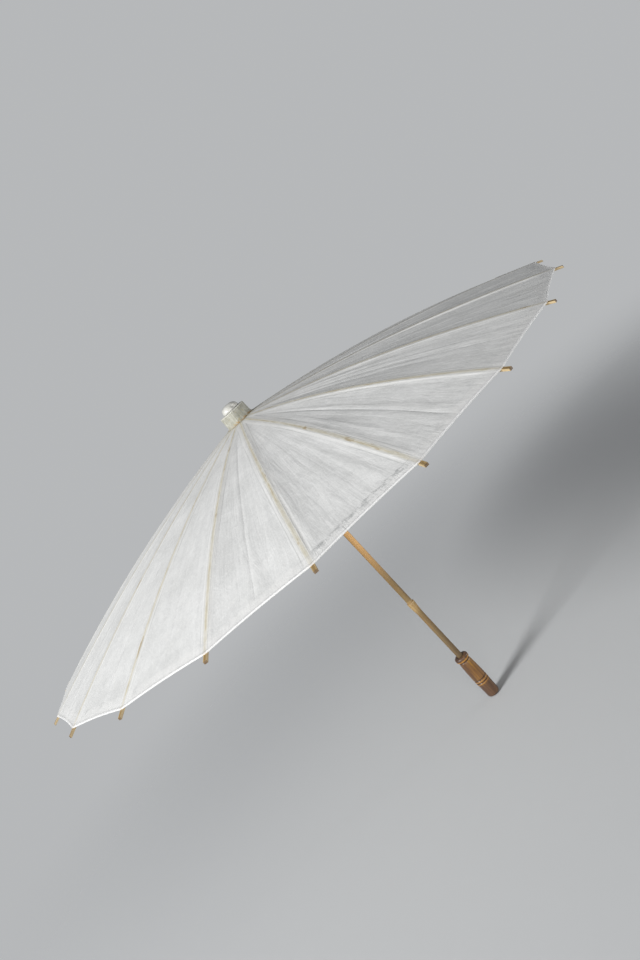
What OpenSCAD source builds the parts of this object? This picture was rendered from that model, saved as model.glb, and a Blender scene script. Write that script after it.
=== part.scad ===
// Oil paper umbrella, open: a paper canopy on bamboo ribs that fold down along a bamboo shaft.
// +Z runs up the shaft, and the origin is the middle of the handle's gripping band.

/* [Canopy] */
// Distance from the shaft's axis to a rib's tip
tip_radius = 418.5; // [412:0.5:430]
// Height of the canopy's peak above the gripping band
peak_z = 500; // [495:1:520]
// How far the rib tips lie below the peak
canopy_drop = 110; // [106:0.5:114]
// Share of the drop that comes from the ribs' bend, where 0 is a cone
crown = 0.468; // [0.44:0.002:0.5]
// Distance from the axis to the paper's corners, just short of the tips
paper_radius = 410; // [400:0.5:411]
// Thickness of the oiled paper
paper_t = 0.6; // [0.4:0.1:0.8]
// How far the paper sags between two ribs, halfway along them
paper_sag = 1.5; // [0:0.5:3]

/* [Ribs] */
// Number of ribs, and of stretchers
rib_count = 20; // [18:1:20]
// Width of a rib beyond its hub end
rib_w = 4.6; // [4:0.2:5]
// Thickness of the tongues that sit in the hub's and the runner's slots
tongue_w = 1.9; // [1.5:0.1:1.9]
// Radius of the ring of pivots, on the hub and on the runner
pivot_radius = 13; // [12.8:0.1:13.2]

/* [Stretchers] */
// Length between the two pivots of a stretcher, and from a rib's hub pivot to its stretcher pivot
link_length = 150; // [140:1:152]
// Angle of a stretcher above the horizontal when the canopy is open
open_angle = 11; // [10.9:0.1:11.1]
// Width of a stretcher between its tongues
stretcher_w = 3.4; // [2.4:0.2:3.6]

/* [Shaft] */
// Radius of the bamboo shaft
shaft_r = 4.2; // [4:0.05:4.25]
// Radius of the swelling at the bamboo's node
node_r = 5.7; // [4.8:0.1:6]
// Height of the node's upper shoulder
node_z = 165; // [150:1:168]

/* [Head] */
// Radius of the wrapped collar where it meets the paper
collar_r = 19.2; // [19:0.1:20]
// Radius of the collar at its top
collar_top_r = 18.9; // [18.2:0.1:19]
// Height of the collar
collar_h = 16; // [12:0.5:17]
// Radius of the button on the top
button_r = 12.2; // [8:0.2:14]
// Height of the button
button_h = 9.5; // [6:0.5:10]

/* [Handle] */
// Radius of the barrel by its grooves, where it is thickest
barrel_r = 10; // [9.7:0.1:10.2]
// Radius of the gripping band
grip_r = 9.3; // [8.8:0.1:9.5]
// Length of the gripping band
grip_band = 20; // [16:1:22]
// Radius of the bead at the handle's top
bead_r = 10.2; // [10:0.1:11]
// Height of the handle's top
handle_top = 60; // [58:1:62]
// Height of the handle's butt
handle_butt = -14; // [-16:0.5:-13]

/* [Hidden] */
$fn = 96;
// Gaps between pieces: glued, turning on a thread, turning on a pin, sliding
glue_gap = 0.05;
thread_gap = 0.15;
pin_gap = 0.05;
slide_gap = 0.5;
slot_gap = 0.1;
paper_gap = 0.4;
// Radii of the two thread rings and of the stretchers' pins
thread_r = 0.45;
pin_r = 0.45;
half_gore = 180 / rib_count;
// Plans: width of a rib against distance from the shaft's axis, and of a stretcher against that from
// its inner pivot
rib_plan = [[pivot_radius - 4, tongue_w], [20, tongue_w], [64, rib_w], [tip_radius + 1, rib_w]];
stretcher_plan = [
    [-3, tongue_w], [9, tongue_w], [22, stretcher_w],
    [link_length - 44, stretcher_w], [link_length - 36, 1.8], [link_length + 3, 1.8]
];
// Depth of a rib below the paper
rib_depths = [[0, 4.4], [60, 4.8], [160, 5.4], [300, 4.4], [tip_radius, 2.6]];
rib_steps = 18;
// Slot in a rib for the stretcher's tongue, inwards and outwards of its pivot
rib_slot_w = 2.1;
rib_slot_in = 16;
rib_slot_out = 30;
rib_slot_cover = 1.2;
// Rounded ends of the ribs and the stretchers, and the turned wood that they pivot in
hub_eye_r = 2.3;
paper_hole_r = 17.4;
stretcher_eye_r = 1.6;
core_r = 10;
tooth_r = 17;
hub_pivot_z = peak_z - 5.5;
runner_pivot_z = hub_pivot_z - 2 * link_length * sin(open_angle);
link_pivot_r = pivot_radius + link_length * cos(open_angle);
link_pivot_z = hub_pivot_z - link_length * sin(open_angle);
hub_slot_top = hub_pivot_z + hub_eye_r + 0.4;
collar_z = peak_z - drop(collar_r) + 0.5;
collar_top = collar_z + collar_h;
collar_wall = 1.2;
hub_top = collar_top - collar_wall - 0.3;
runner_low = runner_pivot_z - 24;
// Spring catch: a tongue that pivots in a slot of the shaft
catch_w = 2.2;
catch_pivot = [2, runner_low - 25.5];
catch_pin_r = 0.6;
catch_slot_floor = -0.8;

function drop(r) = canopy_drop * ((1 - crown) * r / tip_radius + crown * pow(r / tip_radius, 2));
function paper_top(r) = peak_z - drop(r);
function rib_top(r) = paper_top(r) - paper_t - paper_gap;
function two(n) = n < 10 ? str("0", n) : str(n);
function names(stem) = [for (i = [1 : rib_count]) str(stem, two(i))];
function lerp(a, b, t) = a + (b - a) * t;
function arc(centre, r, from, to, steps) =
    [for (i = [0 : steps]) let (a = lerp(from, to, i / steps)) centre + r * [cos(a), sin(a)]];

// A solid standing in the XZ plane, centred on it
module upright(width) {
    rotate([90, 0, 0]) linear_extrude(width, center = true) children();
}

// A bar along X: its side view from children(), its plan from a table of [distance, width]
module planned_bar(plan, height) {
    intersection() {
        upright(2 * rib_w) children();
        linear_extrude(height) polygon(concat(
            [for (p = plan) [p[0], p[1] / 2]],
            [for (i = [len(plan) - 1 : -1 : 0]) [plan[i][0], -plan[i][1] / 2]]
        ));
    }
}

// A hole or a pin along Y through the point [x, z]
module cross_cylinder(at, r, length) {
    translate([at[0], 0, at[1]]) rotate([90, 0, 0]) cylinder(h = length, r = r, center = true, $fn = 32);
}

module rib_side() {
    eye = arc([pivot_radius, hub_pivot_z], hub_eye_r, 260, 100, 10);
    radii = [for (i = [0 : rib_steps]) lerp(pivot_radius + 1, tip_radius, i / rib_steps)];
    polygon(concat(
        eye,
        [for (r = radii) [r, rib_top(r)]],
        [for (i = [rib_steps : -1 : 0]) [radii[i], rib_top(radii[i]) - lookup(radii[i], rib_depths)]]
    ));
}

// One rib along +X, with its hub eye, and the slot and hole for its stretcher
module rib() {
    color("burlywood") difference() {
        planned_bar(rib_plan, peak_z) rib_side();
        cross_cylinder([pivot_radius, hub_pivot_z], thread_r + thread_gap, 10);
        cross_cylinder([link_pivot_r, link_pivot_z], pin_r + pin_gap, 10);
        translate([link_pivot_r - rib_slot_in, -rib_slot_w / 2, link_pivot_z - 20])
            rotate([0, open_angle + 3, 0])
                cube([rib_slot_in + rib_slot_out, rib_slot_w, 20 + link_slot_height()]);
    }
}

// Height of the slot's roof over the corner that it is turned about
function link_slot_height() =
    (rib_top(link_pivot_r - rib_slot_in) - rib_slot_cover - link_pivot_z) * cos(open_angle + 3);

// One stretcher, with its tongues, and its pin as a separate solid
module stretcher() {
    color("tan") {
        translate([pivot_radius, 0, runner_pivot_z]) rotate([0, -open_angle, 0]) difference() {
            translate([0, 0, -5]) planned_bar(stretcher_plan, 10)
                translate([0, 5]) polygon(concat(
                    arc([0, 0], stretcher_eye_r, 270, 90, 10),
                    [[14, stretcher_eye_r], [26, 2]],
                    [[link_length - 46, 2], [link_length - 34, stretcher_eye_r]],
                    arc([link_length, 0], stretcher_eye_r, 90, -90, 10),
                    [[link_length - 34, -stretcher_eye_r], [link_length - 46, -2]],
                    [[26, -2], [14, -stretcher_eye_r]]
                ));
            cross_cylinder([0, 0], thread_r + thread_gap, 10);
            cross_cylinder([link_length, 0], pin_r + pin_gap, 10);
        }
        cross_cylinder([link_pivot_r, link_pivot_z], pin_r, rib_w);
    }
}

// The paper: a many-sided shell with a ridge on every rib and a shallow fold between ribs
module canopy() {
    rings = 15;
    radii = [for (i = [0 : rings - 1]) lerp(paper_hole_r, paper_radius, i / (rings - 1))];
    around = 2 * rib_count;
    points = [for (low = [0, paper_t], r = radii, j = [0 : around - 1])
        let (
            mid = j % 2,
            far = mid ? r * cos(half_gore) : r,
            sag = 4 * mid * paper_sag * r / paper_radius * (1 - r / paper_radius)
        )
            [far * cos(j * half_gore), far * sin(j * half_gore), paper_top(r) - sag - low]];
    function at(layer, ring, j) = (layer * rings + ring) * around + (j % around);
    color("whitesmoke") polyhedron(points, concat(
        [for (ring = [0 : rings - 2], j = [0 : around - 1], half = [0, 1]) half == 0
            ? [at(0, ring, j), at(0, ring, j + 1), at(0, ring + 1, j + 1)]
            : [at(0, ring, j), at(0, ring + 1, j + 1), at(0, ring + 1, j)]],
        [for (ring = [0 : rings - 2], j = [0 : around - 1], half = [0, 1]) half == 0
            ? [at(1, ring, j), at(1, ring + 1, j + 1), at(1, ring, j + 1)]
            : [at(1, ring, j), at(1, ring + 1, j), at(1, ring + 1, j + 1)]],
        [for (j = [0 : around - 1], half = [0, 1]) half == 0
            ? [at(0, 0, j), at(1, 0, j + 1), at(0, 0, j + 1)]
            : [at(0, 0, j), at(1, 0, j), at(1, 0, j + 1)]],
        [for (j = [0 : around - 1], half = [0, 1]) half == 0
            ? [at(0, rings - 1, j), at(0, rings - 1, j + 1), at(1, rings - 1, j + 1)]
            : [at(0, rings - 1, j), at(1, rings - 1, j + 1), at(1, rings - 1, j)]]
    ));
}

module shaft() {
    low = handle_top - 32;
    high = collar_top + 3;
    color("darkkhaki") difference() {
        rotate_extrude() polygon([
            [0, low], [shaft_r, low], [shaft_r, node_z - 21], [node_r - 0.5, node_z - 8],
            [node_r, node_z - 3], [node_r - 0.3, node_z - 1], [shaft_r, node_z], [shaft_r, high], [0, high]
        ]);
        translate([catch_slot_floor, -catch_w / 2 - 0.2, catch_pivot[1] - 3.5])
            cube([20, catch_w + 0.4, 31]);
        cross_cylinder(catch_pivot, catch_pin_r, 20);
    }
}

// Slots for the tongues, from core_r outwards, between two heights
module slots(low, high) {
    for (i = [0 : rib_count - 1])
        rotate([0, 0, 2 * half_gore * i]) translate([core_r, -tongue_w / 2 - slot_gap, low])
            cube([20, tongue_w + 2 * slot_gap, high - low]);
}

module thread_ring(z, r) {
    translate([0, 0, z]) rotate_extrude() translate([pivot_radius, 0]) circle(r = r, $fn = 32);
}

module hub() {
    color("peru") difference() {
        union() {
            translate([0, 0, hub_pivot_z - 7.5]) cylinder(h = 8, r = core_r);
            translate([0, 0, hub_pivot_z - 4.5]) cylinder(h = hub_top - hub_pivot_z + 4.5, r = tooth_r);
        }
        slots(hub_pivot_z - 8, hub_slot_top);
        thread_ring(hub_pivot_z, thread_r + glue_gap);
        translate([0, 0, hub_pivot_z - 10]) cylinder(h = 50, r = shaft_r + glue_gap);
    }
}

module hub_thread() {
    color("firebrick") thread_ring(hub_pivot_z, thread_r);
}

module collar() {
    color("wheat") difference() {
        translate([0, 0, collar_z]) cylinder(h = collar_h, r1 = collar_r, r2 = collar_top_r);
        translate([0, 0, collar_z - 1]) cylinder(h = collar_h - collar_wall + 1, r = tooth_r + 0.2);
        translate([0, 0, collar_z]) cylinder(h = 2 * collar_h, r = shaft_r + glue_gap);
    }
}

module button() {
    foot = button_r - 1.6;
    color("white") translate([0, 0, collar_top + glue_gap]) difference() {
        rotate_extrude() polygon(concat(
            [[0, 0], [foot, 0], [foot + 0.9, 0.9]],
            arc([button_r - 4.5, button_h - 4.5], 4.5, -10, 80, 10),
            [[4.5, button_h], [2.6, button_h - 0.5], [0, button_h - 1.2]]
        ));
        translate([0, 0, -1]) cylinder(h = 4.5, r = shaft_r + glue_gap);
    }
}

module runner() {
    slot_floor = runner_pivot_z - stretcher_eye_r - 0.5;
    color("peru") difference() {
        rotate_extrude() polygon([
            [0, runner_low], [8.9, runner_low], [9.7, runner_low + 0.8], [9.7, runner_low + 5],
            [7.8, runner_low + 6.5], [7.8, runner_low + 14], [9, runner_low + 16],
            [tooth_r - 1, slot_floor - 3.5], [tooth_r, slot_floor - 2.5],
            [tooth_r, runner_pivot_z + 4.5], [core_r, runner_pivot_z + 4.5], [core_r, runner_pivot_z + 6.5],
            [core_r - 1, runner_pivot_z + 7.5], [0, runner_pivot_z + 7.5]
        ]);
        slots(slot_floor, runner_pivot_z + 10);
        thread_ring(runner_pivot_z, thread_r + glue_gap);
        translate([0, 0, runner_low - 1]) cylinder(h = 60, r = shaft_r + slide_gap);
    }
}

module runner_thread() {
    color("firebrick") thread_ring(runner_pivot_z, thread_r);
}

// A wedge that stands out of the shaft under the runner and swings into its slot when pressed
module spring_catch() {
    high = runner_low - 0.5;
    color("sienna") difference() {
        upright(catch_w) polygon(concat(
            arc(catch_pivot, 1.9, 180, 330, 10),
            [[shaft_r + 0.2, catch_pivot[1] + 4], [shaft_r + 2.8, high - 1.5], [shaft_r + 2.5, high],
             [shaft_r + 0.4, high], [shaft_r - 0.2, high - 4]]
        ));
        cross_cylinder(catch_pivot, catch_pin_r + pin_gap, 10);
    }
}

module catch_pin() {
    color("silver") cross_cylinder(catch_pivot, catch_pin_r - 0.02, 7);
}

// A thin leaf that bows from the slot's floor to the back of the catch
module catch_spring() {
    steps = 10;
    leaf = 0.3;
    bow = 1.7;
    rise = 17;
    foot = [catch_slot_floor + 0.1, catch_pivot[1] + 3];
    curve = [for (i = [0 : steps]) foot + [bow * pow(i / steps, 2), rise * i / steps]];
    color("lightsteelblue") upright(catch_w - 0.4) polygon(concat(
        curve,
        [for (i = [steps : -1 : 0]) curve[i] + [leaf, 0]]
    ));
}

// A turned handle: a bead, a swelling barrel, two grooves and a straight gripping band with a rounded butt
module handle() {
    band = grip_band / 2;
    color("saddlebrown") difference() {
        rotate_extrude() polygon(concat(
            [[0, handle_top], [5.6, handle_top]],
            arc([bead_r - 3, handle_top - 3], 3, 80, -10, 8),
            [[bead_r - 0.2, handle_top - 5.8], [bead_r - 1, handle_top - 7.2],
             [7.9, handle_top - 7.8], [7.8, handle_top - 8.8], [8.4, handle_top - 9.4],
             [barrel_r - 0.8, handle_top - 15], [barrel_r - 0.4, handle_top - 23],
             [barrel_r - 0.15, handle_top - 33], [barrel_r, handle_top - 40]],
            groove(barrel_r, handle_top - 42), groove(barrel_r, handle_top - 46.8),
            [[barrel_r - 0.1, band + 1.7], [grip_r, band], [grip_r, -band]],
            arc([grip_r - 3.6, handle_butt + 4], 3.6, 0, -80, 8),
            [[4, handle_butt], [0, handle_butt]]
        ));
        translate([0, 0, handle_top - 33]) cylinder(h = 40, r = shaft_r + glue_gap);
    }
}

// A rounded groove in a barrel of radius r, read downwards
function groove(r, z) = [[r, z + 1.1], [r - 0.9, z + 0.5], [r - 1, z], [r - 0.9, z - 0.5], [r, z - 1.1]];

for (i = [1 : rib_count]) {
    turn = 2 * half_gore * (i - 1);
    rotate([0, 0, turn]) rib();
    rotate([0, 0, turn]) stretcher();
}
canopy();
shaft();
hub();
hub_thread();
collar();
button();
runner();
runner_thread();
spring_catch();
catch_pin();
catch_spring();
handle();
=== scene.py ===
"""The looks of the oil paper umbrella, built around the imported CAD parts."""

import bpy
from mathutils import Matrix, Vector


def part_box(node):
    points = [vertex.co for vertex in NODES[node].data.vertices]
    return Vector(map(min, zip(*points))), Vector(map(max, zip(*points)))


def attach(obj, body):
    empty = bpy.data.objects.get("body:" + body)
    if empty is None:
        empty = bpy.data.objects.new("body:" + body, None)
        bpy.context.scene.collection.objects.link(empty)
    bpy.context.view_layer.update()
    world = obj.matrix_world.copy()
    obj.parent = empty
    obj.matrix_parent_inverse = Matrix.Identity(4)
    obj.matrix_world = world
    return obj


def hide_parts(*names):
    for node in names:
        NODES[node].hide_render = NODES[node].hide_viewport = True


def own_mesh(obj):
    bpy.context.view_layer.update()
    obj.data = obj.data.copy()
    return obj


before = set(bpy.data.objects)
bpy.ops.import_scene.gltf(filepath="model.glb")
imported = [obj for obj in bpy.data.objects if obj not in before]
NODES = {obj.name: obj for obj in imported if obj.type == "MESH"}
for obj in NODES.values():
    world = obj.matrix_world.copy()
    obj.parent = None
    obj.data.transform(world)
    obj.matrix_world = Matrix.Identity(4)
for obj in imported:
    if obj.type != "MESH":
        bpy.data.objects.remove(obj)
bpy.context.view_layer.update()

import math

import bpy
import numpy as np
from mathutils import Euler, Vector

MM = 0.001
RIB_COUNT = sum(name.startswith("rib_") for name in NODES)
HALF_GORE = math.pi / RIB_COUNT
SEED = 20


def rib_name(number):
    return f"rib_{number % RIB_COUNT + 1:02d}"


def vertices_of(node):
    return np.array([v.co for v in NODES[node].data.vertices], float)


# ---- places and sizes, from the frame


def ridge_line():
    """The quadratic that the CAD paper's top follows over a rib, and its first and last radius."""
    points = vertices_of("canopy")
    on_rib = points[(abs(points[:, 1]) < 0.01 * MM) & (points[:, 0] > 0)]
    radii = np.unique(np.round(on_rib[:, 0], 5))
    tops = [on_rib[abs(on_rib[:, 0] - r) < 0.02 * MM, 2].max() for r in radii]
    return np.polyfit(radii, tops, 2), radii[0], radii[-1]


RIDGE, CAD_HOLE_R, PAPER_R = ridge_line()
# The paper starts a little farther out than in the CAD, so that it clears the hub's teeth when folded
PAPER_HOLE_R = CAD_HOLE_R + 1.4 * MM
RIB_POINTS = vertices_of("rib_01")
TIP_R = RIB_POINTS[:, 0].max()
TIP_TOP = RIB_POINTS[RIB_POINTS[:, 0] > TIP_R - 0.1 * MM, 2].max()
RIB_HALF_WIDTH = RIB_POINTS[:, 1].max()
# The paper lies this far above a rib's top face, which is itself a little below the CAD paper's top
PAPER_ON_RIB = 0.3 * MM
LOWERED = np.polyval(RIDGE, TIP_R) - TIP_TOP - PAPER_ON_RIB

# Half the width of the strip of paper that is glued to a rib
STRIP_HALF = RIB_HALF_WIDTH + 0.1 * MM
# The paper's sag between two ribs, the height of its waves, and a wave's greatest phase in radians
SAG = 1.7 * MM
WAVE = 0.9 * MM
FULL_PHASE = 6.28
# The hem's width, the gap over its flap, and the rolled rim's radius and its rise over the paper
HEM = 14 * MM
FLAP_GAP = 0.4 * MM
RIM_BEAD_R = 0.9 * MM
RIM_RISE = 0.8 * MM
# How far the rim is drawn in halfway between two ribs, and how unevenly the paper ends on them
RIM_DRAW = 1.6 * MM
RIM_JITTER = 0.5 * MM
# The gore whose hem is the most crumpled, as a place between ribs counted from the first
WORN_GORE = 14.5
# The paper's streaks, lines and folds are faint nearer the shaft than this, and full beyond this
FOLDS_FROM, FOLDS_FULL = 60 * MM, 260 * MM
# How a rib shows through: distances from its middle at which its pale band starts to fade and ends, at
# which a painted shade line and a brown vein run, and at which the paper's second layer, lightened partly
# as painted light, starts to fade and ends
BAND_FULL, BAND_END = 2.5 * MM, 3.8 * MM
PAINTED_SHADE_LINE = 4.2 * MM
VEIN_AT = 0.9 * MM
LINING_FULL, LINING_END = 8 * MM, 10 * MM
# How far the hem's inner edge wanders, and how far the glue and its tinge spread from the hole at the peak
HEM_WANDER = 10 * MM
STAIN_FROM, STAIN_END, TINGE_END = 2.6 * MM, 5.6 * MM, 18 * MM


def smooth(x, start, end):
    """0 before start and 1 after end, with a smooth step between them."""
    t = np.clip((x - start) / (end - start), 0, 1)
    return t * t * (3 - 2 * t)


# ---- meshes


def make_object(name, mesh, material):
    mesh.materials.append(material)
    mesh.shade_smooth()
    piece = bpy.data.objects.new(name, mesh)
    bpy.context.scene.collection.objects.link(piece)
    return piece


def grid_mesh(name, points, uvs=None, around=False, closed=False):
    """A mesh from rows of points. around joins a row's ends, and closed the last row to the first."""
    rows, columns = points.shape[:2]
    index = np.arange(rows * columns).reshape(rows, columns)
    if around:
        index = np.concatenate([index, index[:, :1]], axis=1)
    if closed:
        index = np.concatenate([index, index[:1]], axis=0)
    corners = [index[:-1, :-1], index[1:, :-1], index[1:, 1:], index[:-1, 1:]]
    faces = np.stack(corners, axis=-1).reshape(-1, 4)
    mesh = bpy.data.meshes.new(name)
    mesh.from_pydata(points.reshape(-1, 3).tolist(), [], faces.tolist())
    for layer_name, values in (uvs or {}).items():
        layer = mesh.uv_layers.new(name=layer_name)
        at_corners = values.reshape(-1, 2)[faces.ravel()]
        layer.data.foreach_set("uv", at_corners.astype(np.float32).ravel())
    mesh.validate()
    return mesh


def smooth_profile(points, step=0.35 * MM):
    """A denser outline with rounder corners: evenly resampled, then averaged with its neighbours."""
    points = np.array(points, float)
    lengths = np.linalg.norm(np.diff(points, axis=0), axis=1)
    along = np.concatenate([[0], np.cumsum(lengths)])
    at = np.linspace(0, along[-1], int(along[-1] / step) + 1)
    dense = np.stack([np.interp(at, along, points[:, k]) for k in (0, 1)], axis=1)
    for _ in range(2):
        dense[1:-1] = (dense[:-2] + 2 * dense[1:-1] + dense[2:]) / 4
    return dense


def lathe_mesh(name, profile, sides=96):
    """A closed solid of revolution about the shaft's axis, from an outline of (radius, height)."""
    turn = np.linspace(0, 2 * math.pi, sides, endpoint=False)
    r, z = profile[:, 0][:, None], profile[:, 1][:, None]
    points = np.stack([r * np.cos(turn), r * np.sin(turn), z + 0 * turn], axis=-1)
    mesh = grid_mesh(name, points, around=True)
    count = len(points) * sides
    ends = [tuple(range(sides)), tuple(range(count - 1, count - sides - 1, -1))]
    faces = [tuple(p.vertices) for p in mesh.polygons] + ends
    solid = bpy.data.meshes.new(name)
    solid.from_pydata([v.co for v in mesh.vertices], [], faces)
    bpy.data.meshes.remove(mesh)
    return solid


# ---- node helpers


class Shader:
    """A material being built: its tree, its Principled BSDF, and short ways to add nodes."""

    def __init__(self, name):
        self.material = bpy.data.materials.new(name)
        self.material.use_nodes = True
        self.tree = self.material.node_tree
        self.tree.nodes.clear()
        self.output = self.tree.nodes.new("ShaderNodeOutputMaterial")
        self.surface = self.tree.nodes.new("ShaderNodeBsdfPrincipled")
        self.join(self.surface.outputs[0], self.output.inputs["Surface"])

    def join(self, source, target):
        self.tree.links.new(source, target)

    def put(self, value, target):
        """A socket is linked, and a number or colour is set."""
        if isinstance(value, bpy.types.NodeSocket):
            self.join(value, target)
        else:
            target.default_value = value

    def set(self, **values):
        for name, value in values.items():
            self.put(value, self.surface.inputs[name.replace("_", " ")])

    def finish(self, colour, grain, where_low, where_high, height):
        """Base colour, a roughness that follows the grain, and the bump."""
        roughness = self.step(grain, 0.3, 0.7, where_low, where_high)
        self.set(Base_Color=colour, Roughness=roughness, Normal=height)

    def blend(self, share, other):
        """Another shader mixed over the Principled BSDF."""
        node = self.tree.nodes.new("ShaderNodeMixShader")
        self.join(share, node.inputs[0])
        self.join(self.surface.outputs[0], node.inputs[1])
        self.join(other.outputs[0], node.inputs[2])
        self.join(node.outputs[0], self.output.inputs["Surface"])

    def coordinates(self):
        return self.tree.nodes.new("ShaderNodeTexCoord").outputs["Object"]

    def uv(self, layer):
        node = self.tree.nodes.new("ShaderNodeUVMap")
        node.uv_map = layer
        return node.outputs[0]

    def split(self, vector):
        node = self.tree.nodes.new("ShaderNodeSeparateXYZ")
        self.join(vector, node.inputs[0])
        return node.outputs

    def vector(self, x, y, z=0.0):
        node = self.tree.nodes.new("ShaderNodeCombineXYZ")
        for value, target in zip((x, y, z), node.inputs):
            self.put(value, target)
        return node.outputs[0]

    def scaled(self, vector, factors):
        node = self.tree.nodes.new("ShaderNodeVectorMath")
        node.operation = "MULTIPLY"
        self.join(vector, node.inputs[0])
        node.inputs[1].default_value = factors
        return node.outputs[0]

    def calc(self, operation, a, b=0.0):
        node = self.tree.nodes.new("ShaderNodeMath")
        node.operation = operation
        self.put(a, node.inputs[0])
        self.put(b, node.inputs[1])
        return node.outputs[0]

    def times(self, a, b):
        return self.calc("MULTIPLY", a, b)

    def plus(self, a, b):
        return self.calc("ADD", a, b)

    def minus(self, a, b):
        return self.calc("SUBTRACT", a, b)

    def absolute(self, value):
        return self.calc("ABSOLUTE", value)

    def step(self, value, start, end, low=0.0, high=1.0):
        """low before start, high after end, and a smooth step between."""
        node = self.tree.nodes.new("ShaderNodeMapRange")
        node.interpolation_type = "SMOOTHSTEP"
        for v, target in zip((value, start, end, low, high), node.inputs):
            self.put(v, target)
        return node.outputs[0]

    def band(self, value, middle, inner, outer, share=1.0):
        """share within inner of the middle, and a smooth step down to nothing at outer."""
        return self.step(self.absolute(self.minus(value, middle)), inner, outer, share, 0.0)

    def noise(self, vector, scale, detail=3.0, roughness=0.5, distortion=0.0):
        node = self.tree.nodes.new("ShaderNodeTexNoise")
        self.join(vector, node.inputs["Vector"])
        node.inputs["Scale"].default_value = scale
        node.inputs["Detail"].default_value = detail
        node.inputs["Roughness"].default_value = roughness
        node.inputs["Distortion"].default_value = distortion
        return node.outputs["Fac"]

    def stretched(self, vector, factors, detail=3.0, roughness=0.5, distortion=0.0):
        """Noise whose scale differs along the vector's three directions."""
        return self.noise(self.scaled(vector, factors), 1.0, detail, roughness, distortion)

    def edge_distance(self, vector):
        """Distance to the edges of a pattern of cells."""
        node = self.tree.nodes.new("ShaderNodeTexVoronoi")
        node.feature = "DISTANCE_TO_EDGE"
        self.join(vector, node.inputs["Vector"])
        node.inputs["Scale"].default_value = 1.0
        return node.outputs["Distance"]

    def mix(self, share, a, b, blend="MIX"):
        node = self.tree.nodes.new("ShaderNodeMix")
        node.data_type = "RGBA"
        node.blend_type = blend
        self.put(share, node.inputs["Factor"])
        self.put(a if isinstance(a, bpy.types.NodeSocket) else (*a, 1), node.inputs[6])
        self.put(b if isinstance(b, bpy.types.NodeSocket) else (*b, 1), node.inputs[7])
        return node.outputs[2]

    def layer(self, under, value, start, end, share, colour):
        """A colour laid over another where the value is past end, up to the given share."""
        return self.mix(self.step(value, start, end, 0.0, share), under, colour)

    def ramp(self, value, stops):
        node = self.tree.nodes.new("ShaderNodeValToRGB")
        self.join(value, node.inputs[0])
        elements = node.color_ramp.elements
        while len(elements) < len(stops):
            elements.new(0.5)
        for element, (position, colour) in zip(elements, stops):
            element.position = position
            element.color = (*colour, 1)
        return node.outputs[0]

    def bump(self, height, distance, under=None):
        """A bump of the given height in metres, on top of another one."""
        node = self.tree.nodes.new("ShaderNodeBump")
        node.inputs["Strength"].default_value = 1.0
        node.inputs["Distance"].default_value = distance
        self.join(height, node.inputs["Height"])
        if under is not None:
            self.join(under, node.inputs["Normal"])
        return node.outputs[0]

    def rib_frame(self):
        """Distance along the nearest rib, distance across it, height, and that rib's number."""
        x, y, z = self.split(self.coordinates())
        turn = self.calc("ARCTAN2", y, x)
        number = self.calc("ROUND", self.calc("DIVIDE", turn, 2 * HALF_GORE))
        off = self.minus(turn, self.times(number, 2 * HALF_GORE))
        radius = self.calc("SQRT", self.plus(self.times(x, x), self.times(y, y)))
        along = self.times(radius, self.calc("COSINE", off))
        across = self.times(radius, self.calc("SINE", off))
        return along, across, z, number


# ---- materials


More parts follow.
